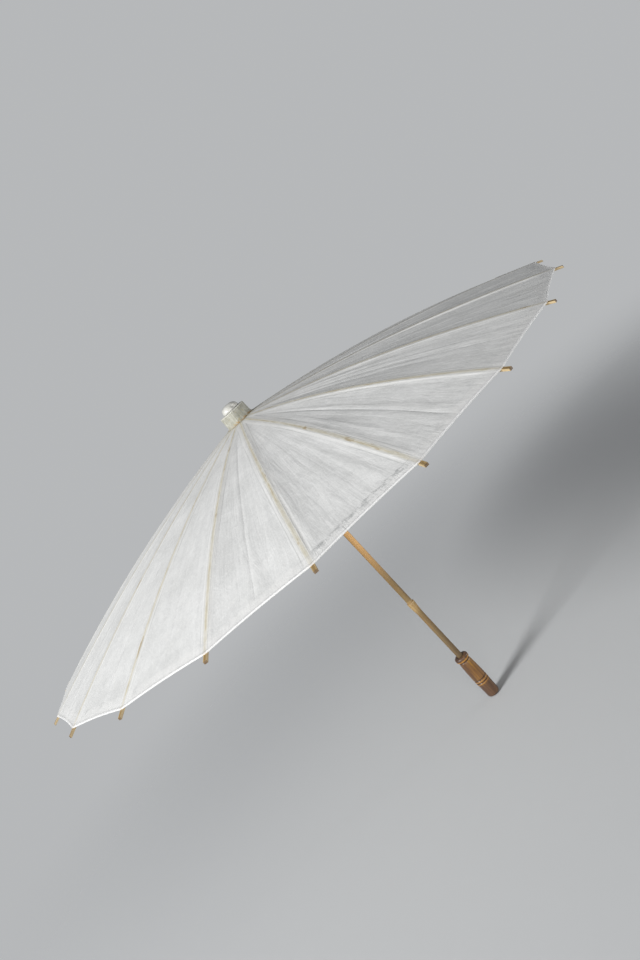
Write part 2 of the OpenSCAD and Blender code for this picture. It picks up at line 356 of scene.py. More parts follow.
def paper_material():
    """Oiled paper: white fibre, grey streaks and creases, ribs that show through as ochre bands with
    painted shade beside them and a second layer lightened partly as painted light, and a painted highlight
    along the rim.
    """
    s = Shader("oiled_paper")
    across, along, _ = s.split(s.uv("rib_distance"))
    gore_uv = s.uv("gore_turn")
    gore, _, _ = s.split(gore_uv)
    to_rim, _, _ = s.split(s.uv("to_rim"))
    place = s.coordinates()
    side = s.absolute(across)

    mottle = s.noise(place, 24, 4, 0.6)
    cloud = s.noise(place, 130, 4, 0.65)
    hatch_a = s.stretched(place, (1100, 170, 170), 3, 0.65, 0.4)
    hatch_b = s.stretched(place, (170, 1100, 170), 3, 0.65, 0.4)
    speckle = s.noise(place, 620, 3, 0.7)
    streaks = s.stretched(gore_uv, (9, 13, 1), 4, 0.6, 0.8)
    lines = s.stretched(gore_uv, (42, 20, 1), 3, 0.6, 0.5)
    greys = [(0.3, (0.68, 0.685, 0.68)), (0.52, (0.755, 0.76, 0.757)), (0.74, (0.82, 0.823, 0.82))]
    colour = s.ramp(mottle, greys)
    colour = s.layer(colour, cloud, 0.42, 0.66, 0.35, (0.66, 0.665, 0.665))
    outer = s.step(along, FOLDS_FROM, FOLDS_FULL, 0.1, 1.0)
    colour = s.mix(s.times(outer, s.step(streaks, 0.50, 0.74, 0.0, 0.28)), colour, (0.58, 0.585, 0.59))
    colour = s.mix(s.times(outer, s.step(lines, 0.54, 0.72, 0.0, 0.08)), colour, (0.60, 0.605, 0.61))
    for fibres in (hatch_a, hatch_b):
        colour = s.layer(colour, fibres, 0.48, 0.68, 0.38, (0.88, 0.88, 0.88))
    colour = s.layer(colour, speckle, 0.56, 0.72, 0.25, (0.56, 0.565, 0.56))

    rib_wear = s.noise(s.vector(s.times(across, 300.0), s.times(along, 60.0), gore), 1.0, 4, 0.65)
    ragged = s.plus(side, s.times(rib_wear, 1.6 * MM))
    ragged = s.plus(ragged, s.step(along, FOLDS_FROM, 300 * MM, 0.7 * MM, 0.0))
    half_gore = s.calc("FLOOR", s.times(gore, 2.0))
    # The paper's second layer beside the rib is lighter, partly its own double layer and partly painted
    # light that offsets the shade on the slope beside the rib; a thin painted shadow runs along its edge
    lining = s.noise(s.vector(s.times(half_gore, 7.3), s.times(along, 7.0)), 1.0, 2)
    lining_edge = s.plus(side, s.times(lining, 5.0 * MM))
    colour = s.mix(s.step(lining_edge, LINING_FULL, LINING_END, 0.45, 0.0), colour, (0.86, 0.862, 0.855))
    lining_edge_shadow = s.band(lining_edge, LINING_END, 0.15 * MM, 0.75 * MM, 0.6)
    colour = s.mix(s.times(lining_edge_shadow, s.step(lining, 0.42, 0.54, 0.1, 1.0)), colour, (0.52, 0.53, 0.52))
    on_rib = s.step(ragged, BAND_FULL, BAND_END, 1.0, 0.0)
    colour = s.mix(s.times(on_rib, s.step(rib_wear, 0.30, 0.66, 0.35, 0.9)), colour, (0.765, 0.725, 0.59))
    # Painted shade: a grey line beside the rib, stronger on the side turned away from the key light
    beside = s.band(ragged, PAINTED_SHADE_LINE, 0.1 * MM, 0.6 * MM)
    shaded_side = s.step(across, -0.1 * MM, 0.1 * MM, 0.35, 0.7)
    colour = s.mix(s.times(beside, shaded_side), colour, (0.52, 0.52, 0.50))
    shows = s.noise(s.vector(s.times(gore, 5.3), s.times(along, 17.0)), 1.0, 3, 0.6)
    shows = s.step(shows, 0.40, 0.58, 0.12, 1.0)
    sway = s.noise(s.vector(gore, s.times(along, 14.0)), 1.0, 2)
    vein = s.band(s.plus(across, s.times(sway, 2.2 * MM)), VEIN_AT, 0.25 * MM, 1.0 * MM)
    vein = s.times(vein, s.times(shows, s.step(rib_wear, 0.36, 0.60, 0.25, 0.7)))
    colour = s.mix(vein, colour, (0.58, 0.46, 0.22))
    knots_at = s.vector(s.times(across, 130.0), s.times(along, 42.0), s.times(gore, 3.7))
    knots = s.noise(knots_at, 1.0, 2, 0.5)
    knot = s.times(on_rib, s.step(knots, 0.62, 0.72, 0.0, 0.6))
    colour = s.mix(knot, colour, (0.40, 0.27, 0.09))
    glue = s.times(s.step(side, 3.0 * MM, 6.0 * MM, 1.0, 0.0), s.step(rib_wear, 0.42, 0.7, 0.0, 0.45))
    colour = s.mix(glue, colour, (0.60, 0.60, 0.56))

    hem_edge = s.minus(to_rim, s.times(s.stretched(gore_uv, (9, 40, 1), 4, 0.65), HEM_WANDER))
    hem = s.step(hem_edge, HEM - 7 * MM, HEM - 4 * MM, 1.0, 0.0)
    hem_line = s.times(s.step(hem_edge, HEM - 16 * MM, HEM - 9 * MM),
                       s.step(hem_edge, HEM - 7 * MM, HEM - 3 * MM, 1.0, 0.0))
    worn = s.band(gore, WORN_GORE, 0.40, 0.55)
    patchy = s.calc("MAXIMUM", worn, s.step(s.stretched(gore_uv, (3.1, 0, 1), 2), 0.48, 0.64, 0.0, 0.5))
    hem_wear = s.stretched(gore_uv, (10, 110, 1), 5, 0.75)
    hem_grey = s.times(s.times(hem_line, patchy), s.step(hem_wear, 0.44, 0.60, 0.0, 0.7))
    colour = s.mix(s.times(hem, 0.35), colour, (0.90, 0.90, 0.90))
    colour = s.mix(hem_grey, colour, (0.44, 0.45, 0.45))
    # Painted highlight: the rolled rim is painted near white, a bright line along the edge
    rim = s.step(to_rim, 0.6 * MM, 1.5 * MM, 1.0, 0.0)
    colour = s.mix(rim, colour, (0.98, 0.98, 0.98))

    stain_edge = s.plus(along, s.times(s.noise(place, 190, 3), 5 * MM))
    tinge = s.step(stain_edge, PAPER_HOLE_R + STAIN_FROM, PAPER_HOLE_R + TINGE_END, 0.6, 0.0)
    colour = s.mix(tinge, colour, (0.52, 0.51, 0.42))
    blots = s.step(s.noise(place, 300, 3, 0.6), 0.44, 0.58, 0.15, 0.95)
    stain = s.step(stain_edge, PAPER_HOLE_R + STAIN_FROM, PAPER_HOLE_R + STAIN_END, 1.0, 0.0)
    stain = s.times(stain, blots)
    colour = s.mix(stain, colour, (0.45, 0.30, 0.12))

    flat_rim = s.minus(1.0, rim)
    crinkle = s.noise(place, 80, 5, 0.62, 0.6)
    folds = s.calc("POWER", s.edge_distance(s.scaled(gore_uv, (7, 5, 1))), 0.5)
    hem_crinkle = s.times(s.times(hem, patchy), s.stretched(gore_uv, (60, 110, 1), 4, 0.65))
    height = s.bump(s.times(s.times(streaks, outer), flat_rim), 0.65 * MM)
    height = s.bump(s.times(lines, outer), 0.07 * MM, height)
    height = s.bump(crinkle, 0.45 * MM, height)
    height = s.bump(s.times(folds, outer), 0.25 * MM, height)
    height = s.bump(s.times(hem_crinkle, flat_rim), 0.4 * MM, height)
    height = s.bump(s.plus(hatch_a, hatch_b), 0.05 * MM, height)
    s.finish(colour, crinkle, 0.46, 0.64, height)
    s.set(Specular_IOR_Level=0.3)

    glow = s.tree.nodes.new("ShaderNodeBsdfTranslucent")
    s.put(s.mix(flat_rim, colour, (1.0, 0.97, 0.90), "MULTIPLY"), glow.inputs["Color"])
    s.join(height, glow.inputs["Normal"])
    s.blend(s.plus(0.22, s.times(rim, 0.3)), glow)
    return s.material


def split_bamboo_material(name, pale, deep, edge):
    """Split bamboo laid out along the nearest rib: long fibres, fine dark pores and darker cut ends."""
    s = Shader(name)
    along, across, height, number = s.rib_frame()
    shift = s.times(number, 3.1)
    place = s.vector(s.plus(along, shift), across, height)
    grain = s.stretched(place, (9, 950, 950), 4, 0.65)
    pores = s.stretched(place, (55, 2600, 2600), 2, 0.6)
    tone = s.stretched(place, (14, 60, 60), 3, 0.5)
    between = tuple((a + b) / 2 for a, b in zip(pale, deep))
    colour = s.ramp(grain, [(0.32, deep), (0.5, between), (0.68, pale)])
    colour = s.layer(colour, tone, 0.45, 0.75, 0.45, edge)
    colour = s.layer(colour, pores, 0.60, 0.72, 0.5, tuple(0.45 * c for c in deep))
    off = s.absolute(across)
    colour = s.mix(s.step(off, 0.3 * MM, 1.5 * MM, 0.55, 0.0), colour, tuple(0.62 * c for c in deep))
    colour = s.layer(colour, off, 1.5 * MM, 2.1 * MM, 0.5, (0.56, 0.46, 0.29))
    colour = s.layer(colour, along, TIP_R - 0.5 * MM, TIP_R - 0.1 * MM, 0.85, (0.13, 0.085, 0.05))
    height = s.bump(grain, 0.25 * MM)
    height = s.bump(pores, 0.10 * MM, height)
    s.finish(colour, grain, 0.38, 0.6, height)
    s.set(Specular_IOR_Level=0.4)
    return s.material


def cane_material():
    """The bamboo shaft: olive tan skin with lengthwise streaks, and an orange tan scar at the node."""
    s = Shader("shaft_bamboo")
    place = s.coordinates()
    z = s.split(place)[2]
    streaks = s.stretched(place, (420, 420, 9), 4, 0.6)
    fibres = s.stretched(place, (2400, 2400, 40), 3, 0.6)
    patches = s.stretched(place, (60, 60, 22), 3, 0.55)
    skin = [(0.30, (0.19, 0.11, 0.040)), (0.5, (0.34, 0.20, 0.066)), (0.7, (0.48, 0.29, 0.095))]
    colour = s.ramp(streaks, skin)
    colour = s.layer(colour, patches, 0.42, 0.62, 0.6, (0.30, 0.225, 0.095))
    colour = s.layer(colour, patches, 0.58, 0.75, 0.6, (0.58, 0.32, 0.095))
    # Darker towards the bottom; near the top a golden tan, partly the cane's own tan and partly painted
    # light against the canopy's shadow
    colour = s.mix(s.step(z, *DARK_STRETCH, 0.9, 0.5), colour, (0.088, 0.062, 0.034))
    colour = s.layer(colour, z, *TAN_AND_PAINTED_LIGHT_STRETCH, 0.8, (0.84, 0.48, 0.18))
    colour = s.layer(colour, fibres, 0.58, 0.74, 0.45, (0.12, 0.07, 0.035))
    scar = s.times(s.step(z, NODE_Z - 24 * MM, NODE_Z - 9 * MM),
                   s.step(z, NODE_Z, NODE_Z + 4 * MM, 1.0, 0.0))
    scar_tone = s.mix(s.step(streaks, 0.35, 0.65), (0.34, 0.20, 0.075), (0.44, 0.31, 0.14))
    colour = s.mix(s.times(scar, 0.75), colour, scar_tone)
    ring = s.times(s.step(z, NODE_Z - 1.6 * MM, NODE_Z - 0.6 * MM),
                   s.step(z, NODE_Z, NODE_Z + 1.2 * MM, 1.0, 0.0))
    colour = s.mix(s.times(ring, 0.3), colour, (0.20, 0.11, 0.05))
    height = s.bump(streaks, 0.35 * MM)
    height = s.bump(fibres, 0.10 * MM, height)
    s.finish(colour, streaks, 0.34, 0.52, height)
    s.set(Specular_IOR_Level=0.45)
    return s.material


def stained_wood_material():
    """The handle: brown stain over a straight grain, golden rings that are partly rubbed wear and partly
    painted highlight, darker in the hollows, and painted shade on one side.
    """
    s = Shader("stained_wood")
    place = s.coordinates()
    x, y, z = s.split(place)
    warp = s.stretched(place, (60, 60, 14), 2)
    rings = s.stretched(place, (430, 300, 13), 4, 0.6, 0.8)
    pores = s.stretched(place, (2200, 2200, 75), 3, 0.7)
    stain = s.ramp(rings, [(0.28, (0.070, 0.034, 0.018)), (0.44, (0.136, 0.064, 0.022)),
                           (0.56, (0.228, 0.112, 0.026)), (0.72, (0.355, 0.190, 0.038))])
    dull = s.ramp(rings, [(0.3, (0.060, 0.035, 0.023)), (0.5, (0.096, 0.053, 0.032)),
                          (0.7, (0.150, 0.080, 0.041))])
    colour = s.mix(s.step(warp, 0.45, 0.7, 0.0, 0.4), stain, (0.16, 0.08, 0.05))
    colour = s.mix(s.step(z, GRIP_TOP - 3 * MM, GRIP_TOP + 3 * MM, 0.85, 0.0), colour, dull)
    colour = s.layer(colour, z, HANDLE_TOP - 4.8 * MM, HANDLE_TOP - 3.4 * MM, 0.9, dull)
    # Painted shade: the handle is darkened on the side that the key light strikes most
    towards_painted_shade = s.plus(s.times(x, math.cos(PAINTED_SHADE_SIDE)), s.times(y, math.sin(PAINTED_SHADE_SIDE)))
    colour = s.layer(colour, towards_painted_shade, -1 * MM, 8.5 * MM, 0.62, (0.062, 0.036, 0.027))
    colour = s.layer(colour, pores, 0.60, 0.72, 0.5, (0.05, 0.022, 0.012))
    for below, width, tone, share in HANDLE_RINGS:
        patch = s.step(rings, 0.30, 0.55, 0.6, 1.0)
        ring = s.band(z, HANDLE_TOP - below, 0.4 * width, width, share)
        colour = s.mix(s.times(ring, patch), colour, tone)
    height = s.bump(rings, 0.22 * MM)
    height = s.bump(pores, 0.12 * MM, height)
    s.finish(colour, rings, 0.42, 0.30, height)
    s.set(Specular_IOR_Level=0.35, Coat_Weight=0.08, Coat_Roughness=0.25)
    return s.material


def plain_wood_material():
    """The hub and the runner: pale unfinished wood with a fine upright grain."""
    s = Shader("plain_wood")
    place = s.coordinates()
    grain = s.stretched(place, (520, 380, 24), 4, 0.6, 0.7)
    pores = s.stretched(place, (2600, 2600, 120), 3, 0.7)
    dirt = s.noise(place, 130, 3)
    browns = [(0.3, (0.36, 0.22, 0.11)), (0.52, (0.52, 0.35, 0.19)), (0.72, (0.64, 0.47, 0.28))]
    colour = s.ramp(grain, browns)
    colour = s.layer(colour, pores, 0.58, 0.72, 0.5, (0.22, 0.12, 0.06))
    colour = s.layer(colour, dirt, 0.5, 0.75, 0.4, (0.30, 0.20, 0.12))
    height = s.bump(grain, 0.2 * MM)
    height = s.bump(pores, 0.1 * MM, height)
    s.finish(colour, grain, 0.5, 0.68, height)
    return s.material


def wrap_material():
    """The collar's wrap: cream paper cloth with a fine weave, soft folds, ochre glue along its foot and a
    painted highlight along its top edge.
    """
    s = Shader("wrap_cloth")
    place = s.coordinates()
    x, y, z = s.split(place)
    turn = s.calc("ARCTAN2", y, x)
    weave_across = s.calc("SINE", s.times(turn, WRAP_MID_R / WEAVE * 2 * math.pi))
    weave_up = s.calc("SINE", s.times(z, 2 * math.pi / (WEAVE * MM)))
    weave = s.times(weave_across, weave_up)
    mottle = s.noise(place, 160, 4, 0.6)
    creases = s.stretched(place, (260, 260, 60), 4, 0.6, 0.5)
    creams = [(0.3, (0.28, 0.277, 0.23)), (0.52, (0.365, 0.362, 0.31)), (0.72, (0.45, 0.447, 0.395))]
    colour = s.ramp(mottle, creams)
    colour = s.layer(colour, creases, 0.50, 0.68, 0.5, (0.25, 0.247, 0.20))
    foot = s.plus(z, s.times(s.noise(place, 260, 3, 0.6), -9 * MM))
    glue = s.times(s.step(foot, COLLAR_LOW - 5.0 * MM, COLLAR_LOW - 3.0 * MM, 1.0, 0.0),
                  s.step(s.noise(place, 170, 2), 0.42, 0.56, 0.15, 0.9))
    colour = s.mix(glue, colour, (0.30, 0.19, 0.075))
    spots = s.noise(place, 330, 2)
    colour = s.layer(colour, spots, 0.63, 0.70, 0.6, (0.36, 0.29, 0.12))
    # Painted highlight: a paler band along the wrap's top edge
    colour = s.layer(colour, z, COLLAR_TOP - 1.4 * MM, COLLAR_TOP - 0.3 * MM, 0.75, (0.62, 0.61, 0.56))
    height = s.bump(creases, 0.5 * MM)
    height = s.bump(weave, 0.05 * MM, height)
    s.finish(colour, mottle, 0.72, 0.86, height)
    s.set(Specular_IOR_Level=0.25, Sheen_Weight=0.15)
    return s.material


def button_material():
    """The button on top: white lacquer, slightly yellowed and scuffed."""
    s = Shader("white_lacquer")
    place = s.coordinates()
    mottle = s.noise(place, 240, 4, 0.6)
    scuffs = s.stretched(place, (1500, 1500, 500), 3, 0.7)
    colour = s.ramp(mottle, [(0.3, (0.44, 0.435, 0.40)), (0.7, (0.57, 0.567, 0.54))])
    colour = s.layer(colour, scuffs, 0.62, 0.74, 0.5, (0.42, 0.41, 0.37))
    height = s.bump(mottle, 0.25 * MM)
    height = s.bump(scuffs, 0.03 * MM, height)
    s.finish(colour, mottle, 0.26, 0.4, height)
    s.set(Specular_IOR_Level=0.5)
    return s.material


def thread_material():
    """Cotton cord: two twisted strands, darker between them and paler on their crowns."""
    s = Shader("cotton_thread")
    place = s.coordinates()
    x, y, z = s.split(place)
    turn = s.calc("ARCTAN2", y, x)
    lay = s.plus(s.times(turn, 90.0), s.times(z, 7000.0))
    strands = s.absolute(s.calc("SINE", lay))
    fluff = s.noise(place, 4000, 3, 0.7)
    colour = s.mix(s.step(strands, 0.1, 0.9), (0.16, 0.035, 0.02), (0.40, 0.12, 0.07))
    colour = s.layer(colour, fluff, 0.5, 0.75, 0.5, (0.52, 0.26, 0.18))
    height = s.bump(strands, 0.15 * MM)
    s.finish(colour, fluff, 0.75, 0.9, height)
    s.set(Specular_IOR_Level=0.2, Sheen_Weight=0.2)
    return s.material


def steel_material():
    """The catch's pin and leaf: drawn steel with fine lines and a trace of rust."""
    s = Shader("drawn_steel")
    place = s.coordinates()
    lines = s.stretched(place, (5000, 5000, 500), 3, 0.6)
    rust = s.noise(place, 600, 4, 0.65)
    colour = s.ramp(lines, [(0.3, (0.42, 0.42, 0.43)), (0.7, (0.66, 0.66, 0.67))])
    colour = s.layer(colour, rust, 0.58, 0.70, 0.7, (0.22, 0.10, 0.05))
    s.finish(colour, lines, 0.28, 0.45, s.bump(lines, 0.04 * MM))
    s.surface.inputs["Metallic"].default_value = 1.0
    return s.material


# ---- the paper


def random_gore(random):
    """The folds that one gore's paper has kept: where they run, how wide they are and how high."""

    def crease():
        return {
            "at": random.uniform(0.07, 0.93),
            "drift": random.uniform(-0.16, 0.16),
            "width": random.uniform(1.5, 5.0) * MM,
            "height": random.choice([-1, 1]) * random.uniform(0.2, 0.6) * MM,
            "start": random.uniform(0.10, 0.6),
            "end": random.uniform(0.7, 1.15),
        }

    def edge():
        """The line beside a rib where the paper leaves its level."""
        return {
            "at": random.uniform(0.3, 5.0) * MM,
            "run": random.uniform(2.2, 5.0) * MM,
            "drop": random.uniform(0.3, 0.9) * MM,
            "start": random.uniform(0.1, 0.4),
            "sway": random.uniform(0, FULL_PHASE),
        }

    def wave(number):
        """Its height, its halves across the gore, its turns along it, and its phase."""
        height = random.uniform(-1, 1) / (number + 1)
        return height, number, random.uniform(0.4, 3.2), random.uniform(0, FULL_PHASE)

    return {
        "creases": [crease() for _ in range(random.integers(4, 7))],
        "edges": (edge(), edge()),
        "waves": [wave(n) for n in range(1, 6)],
        "fold": random.uniform(0.2, 0.8) * MM,
        "hem": [(random.uniform(-1, 1) / n, n, random.uniform(0, FULL_PHASE)) for n in (3, 5, 8)],
        "rim": random.uniform(-1, 1) * RIM_JITTER,
    }


RANDOM = np.random.default_rng(SEED)
GORES = [random_gore(RANDOM) for _ in range(RIB_COUNT)]


def hem_wave(gore, across):
    """A wandering value across a gore, about -1 to 1, for its hem: nothing at the ribs."""
    wave = sum(a * np.sin(2 * math.pi * n * across + phase) for a, n, phase in GORES[gore]["hem"])
    return 2 * wave * np.sin(math.pi * across)


def rim_shift(gore, across):
    """How far the rim lies outwards of its even place, across a gore from 0 to 1."""
    here, following = GORES[gore]["rim"], GORES[(gore + 1) % RIB_COUNT]["rim"]
    return here * (1 - across) + following * across - RIM_DRAW * 4 * across * (1 - across)


def relief(gore, across, distance, from_rim):
    """Height of the paper's folds and waves over the line between its ribs, across a gore from 0 to 1."""
    g = GORES[gore]
    reach = distance / PAPER_R
    width = 2 * distance * math.sin(HALF_GORE)
    # 6.75 r^2 (1 - r) is 1 at its greatest, two thirds of the way out
    height = -SAG * 6.75 * reach ** 2 * (1 - reach) * np.abs(np.sin(math.pi * across)) ** 1.3
    for c in g["creases"]:
        off = (across - c["at"] - c["drift"] * (reach - 0.7)) * width
        fade = smooth(reach, c["start"], c["start"] + 0.25) * (1 - smooth(reach, c["end"], c["end"] + 0.15))
        height += c["height"] * fade * np.exp(-((np.abs(off) / c["width"]) ** 1.3))
    waves = sum(
        a * np.sin(math.pi * n * across) * np.sin(2 * math.pi * k * reach + phase)
        for a, n, k, phase in g["waves"]
    )
    height += WAVE * reach * waves
    height -= g["fold"] * smooth(reach, 0.12, 0.4) * np.exp(-np.abs(across - 0.5) * width / (1.6 * MM))
    height *= smooth(np.minimum(across, 1 - across) * width, STRIP_HALF + 0.2 * MM, 9 * MM)
    for edge, from_rib in zip(g["edges"], (across * width, (1 - across) * width)):
        sway = 0.5 + 0.5 * np.sin(5 * reach + edge["sway"])
        at = STRIP_HALF + 0.3 * MM + edge["at"] * sway * smooth(reach, 0.1, 0.4)
        share = smooth(np.where(from_rib < width / 2, from_rib, width / 2), at, at + edge["run"])
        beyond = 1 - smooth(from_rib, 0.3 * width, 0.5 * width)
        height -= 0.8 * edge["drop"] * share * beyond * smooth(reach, edge["start"], edge["start"] + 0.3)
    height *= 1 - 0.95 * smooth(-from_rim, -30 * MM, -3 * MM)
    hem_step = 0.12 * MM * smooth(hem_wave(gore, across), -0.1, 0.5)
    return height + hem_step * (1 - smooth(from_rim, 13.2 * MM, 14.8 * MM)) * smooth(from_rim, 0, 3 * MM)


def rim_rise(from_rim):
    """Height of the rolled rim over the paper beside it."""
    return RIM_RISE * (1 - smooth(from_rim, 0.1 * MM, 2.6 * MM))


def sheet_rows():
    """Distances of the paper's rows from its rim: even over the gore, and closer together at the hem."""
    hem_rows = np.array([0, 0.4, 0.8, 1.3, 2, 4, 7, 10, 12, 13, 13.7, 14.4, 15.2, 17]) * MM
    return np.concatenate([np.linspace(PAPER_R - PAPER_HOLE_R, 21 * MM, 94), hem_rows[::-1]])


def paper_points(number, side, from_rim, spread):
    """Points of the paper over rib number, in the first rib's place, and their UV layers.

    side is 1 or -1 for the half gore on the rib's left or right, and 0 for the strip on the rib itself.
    spread runs from the strip's edge, 0, to the middle of the gore, 1, or from -1 to 1 across the strip.
    """
    from_rim, spread = np.meshgrid(from_rim, spread, indexing="ij")
    gore = (number if side >= 0 else number - 1) % RIB_COUNT

    def across(share):
        return share / 2 if side >= 0 else 1 - share / 2

    share = spread if side else 0 * spread
    near_rim = 1 - smooth(from_rim, 15 * MM, 70 * MM)
    hem_depth = 1 - 0.15 * hem_wave(gore, across(share)) * near_rim
    distance = PAPER_R + rim_shift(gore, across(share)) * near_rim - from_rim * hem_depth
    middle = distance * math.sin(HALF_GORE) * math.cos(HALF_GORE)
    off = STRIP_HALF + (middle - STRIP_HALF) * spread if side else np.abs(spread) * STRIP_HALF
    signed = side * off if side else spread * STRIP_HALF
    height = np.polyval(RIDGE, distance) - LOWERED + rim_rise(from_rim)
    if side:
        height = height + relief(gore, across(off / middle), distance, from_rim)
    turn = (number if number or side >= 0 else RIB_COUNT) + signed / middle / 2
    uvs = {
        "rib_distance": np.stack([signed, distance], axis=-1),
        "gore_turn": np.stack([turn, distance], axis=-1),
        "to_rim": np.stack([from_rim, distance], axis=-1),
    }
    return np.stack([distance - off * math.tan(HALF_GORE), signed, height], axis=-1), uvs


def rimmed(points, side, spread):
    """The same rows with a bead round the rim and the hem's flap turned back under."""
    slope = math.atan(-np.polyval(np.polyder(RIDGE), PAPER_R))
    lean = spread * HALF_GORE if side == 0 else 0 * spread + side * HALF_GORE
    level, fall = math.cos(slope), math.sin(slope)
    out = np.stack([np.cos(lean) * level, np.sin(lean) * level, 0 * lean - fall], axis=-1)
    up = np.stack([np.cos(lean) * fall, np.sin(lean) * fall, 0 * lean + level], axis=-1)
    rim = points[-1]
    turns = np.radians([30, 60, 90, 120, 150, 180])
    bead = [rim + RIM_BEAD_R * ((math.cos(t) - 1) * up + math.sin(t) * out) for t in turns]
    # The flap's rows: the row from the rim that each lies under, and how far under it
    below = {2: 2 * RIM_BEAD_R, 4: 1.5 * RIM_BEAD_R, 6: FLAP_GAP, 8: FLAP_GAP, 10: FLAP_GAP} if side else {}
    flap = [points[-1 - row] - drop * up for row, drop in below.items()]
    return np.concatenate([points, bead, *[[row] for row in flap]]), len(bead), list(below)


def paper_piece(number, side, name, material):
    """One sheet of the canopy over rib number, in the row frame."""
    if side == 0:
        spread = np.array([-1, -0.5, 0, 0.5, 1.0])
    else:
        spread = np.concatenate([[0, 0.004, 0.011, 0.021, 0.035, 0.053], np.linspace(0.075, 1, 15)])
    points, uvs = paper_points(number, side, sheet_rows(), spread)
    last = len(points) - 1
    points, bead_rows, flap_rows = rimmed(points, side, spread)
    rows = [*range(last + 1), *[last] * bead_rows, *[last - row for row in flap_rows]]
    uvs = {layer: values[rows] for layer, values in uvs.items()}
    if side < 0:
        points, uvs = points[:, ::-1], {layer: values[:, ::-1] for layer, values in uvs.items()}
    angle = 2 * HALF_GORE * number
    turned = points.copy()
    turned[..., 0] = points[..., 0] * math.cos(angle) - points[..., 1] * math.sin(angle)
    turned[..., 1] = points[..., 0] * math.sin(angle) + points[..., 1] * math.cos(angle)
    mesh = grid_mesh(name, turned, uvs)
    return make_object(name, mesh, material)


def build_canopy(material):
    for number in range(RIB_COUNT):
        rib, joint = rib_name(number), rib_name(number) + "_fold"
        strip = paper_piece(number, 0, f"paper_on_{rib}", material)
        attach(strip, rib)
        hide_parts("canopy")
        for side, word in ((1, "left"), (-1, "right")):
            half = paper_piece(number, side, f"paper_{word}_of_{rib}", material)
            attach(half, rib)
            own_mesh(half)
            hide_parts("canopy")


# ---- the head, the shaft and the handle

COLLAR_LOW, COLLAR_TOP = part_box("collar")[0].z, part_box("collar")[1].z
COLLAR_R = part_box("collar")[1].x
# The wrap's weave: the radius that its threads are counted at, and one repeat's length, both in mm
WRAP_MID_R, WEAVE = 19.0, 0.6
# The wrap's loose end: the turn that it lies at, its height, and how it runs askew
WRAP_END = (math.radians(247), 1.6 * MM, 0.5)
BUTTON_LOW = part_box("button")[0].z
BUTTON_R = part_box("button")[1].x
HANDLE_LOW, HANDLE_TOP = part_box("handle")[0].z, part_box("handle")[1].z
BEAD_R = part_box("handle")[1].x
SHAFT_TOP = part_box("shaft")[1].z
NODE_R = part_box("shaft")[1].x
# Heights over which the shaft grows less dark towards the top, and over which a golden tan comes in, partly
# its own tan and partly painted light against the canopy's shadow
DARK_STRETCH = (40 * MM, 175 * MM)
TAN_AND_PAINTED_LIGHT_STRETCH = (190 * MM, 290 * MM)
# The handle: its grip's upper end, the radii of its grip, barrel and rounded edges, and its grooves'
# depths below its top
GRIP_TOP = 10 * MM
GRIP_R, BARREL_R = 9.3 * MM, 10 * MM
BEAD_ROUND, BUTT_ROUND = 3 * MM, 3.6 * MM
GROOVES = (42 * MM, 46.8 * MM)
# The side of the handle that is painted darker, a painted shade on the side that the key light strikes
# most, as a turn about the shaft
PAINTED_SHADE_SIDE = math.radians(167)
# Rings round the handle, golden ones partly worn gold and partly painted highlight on the bead's rim and
# the ridges, and darker ones in the grooves and the neck: depth below its top, half width, colour and
# strength
GOLD, DARK_RING = (0.42, 0.205, 0.042), (0.035, 0.017, 0.012)
HANDLE_RINGS = [
    (5.6 * MM, 1.6 * MM, GOLD, 0.85),
    (8.3 * MM, 1.3 * MM, DARK_RING, 0.85),
    (44.4 * MM, 1.1 * MM, GOLD, 0.6),
    *[(groove, 1.0 * MM, DARK_RING, 0.85) for groove in GROOVES],
    (48.7 * MM, 0.8 * MM, GOLD, 0.7),
]
# The handle's neck and barrel, as radius and depth below its top, and one groove's depth and height, in mm
NECK_AND_BARREL = [(8.0, 7.7), (7.8, 8.6), (8.4, 9.4), (8.8, 11), (9.2, 15), (9.6, 23), (9.85, 33)]
GROOVE_SHAPE = [(0, 1.3), (0.5, 0.7), (1.1, 0), (0.5, -0.7), (0, -1.3)]


def shaft_sizes():
    """The shaft's radius, and the height of the node's upper shoulder."""
    points = vertices_of("shaft")
    radii = np.hypot(points[:, 0], points[:, 1])
    plain = np.median(radii[points[:, 2] > SHAFT_TOP - 1 * MM])
    return plain, points[radii > NODE_R - 0.4 * MM, 2].max() + 1 * MM


SHAFT_R, NODE_Z = shaft_sizes()


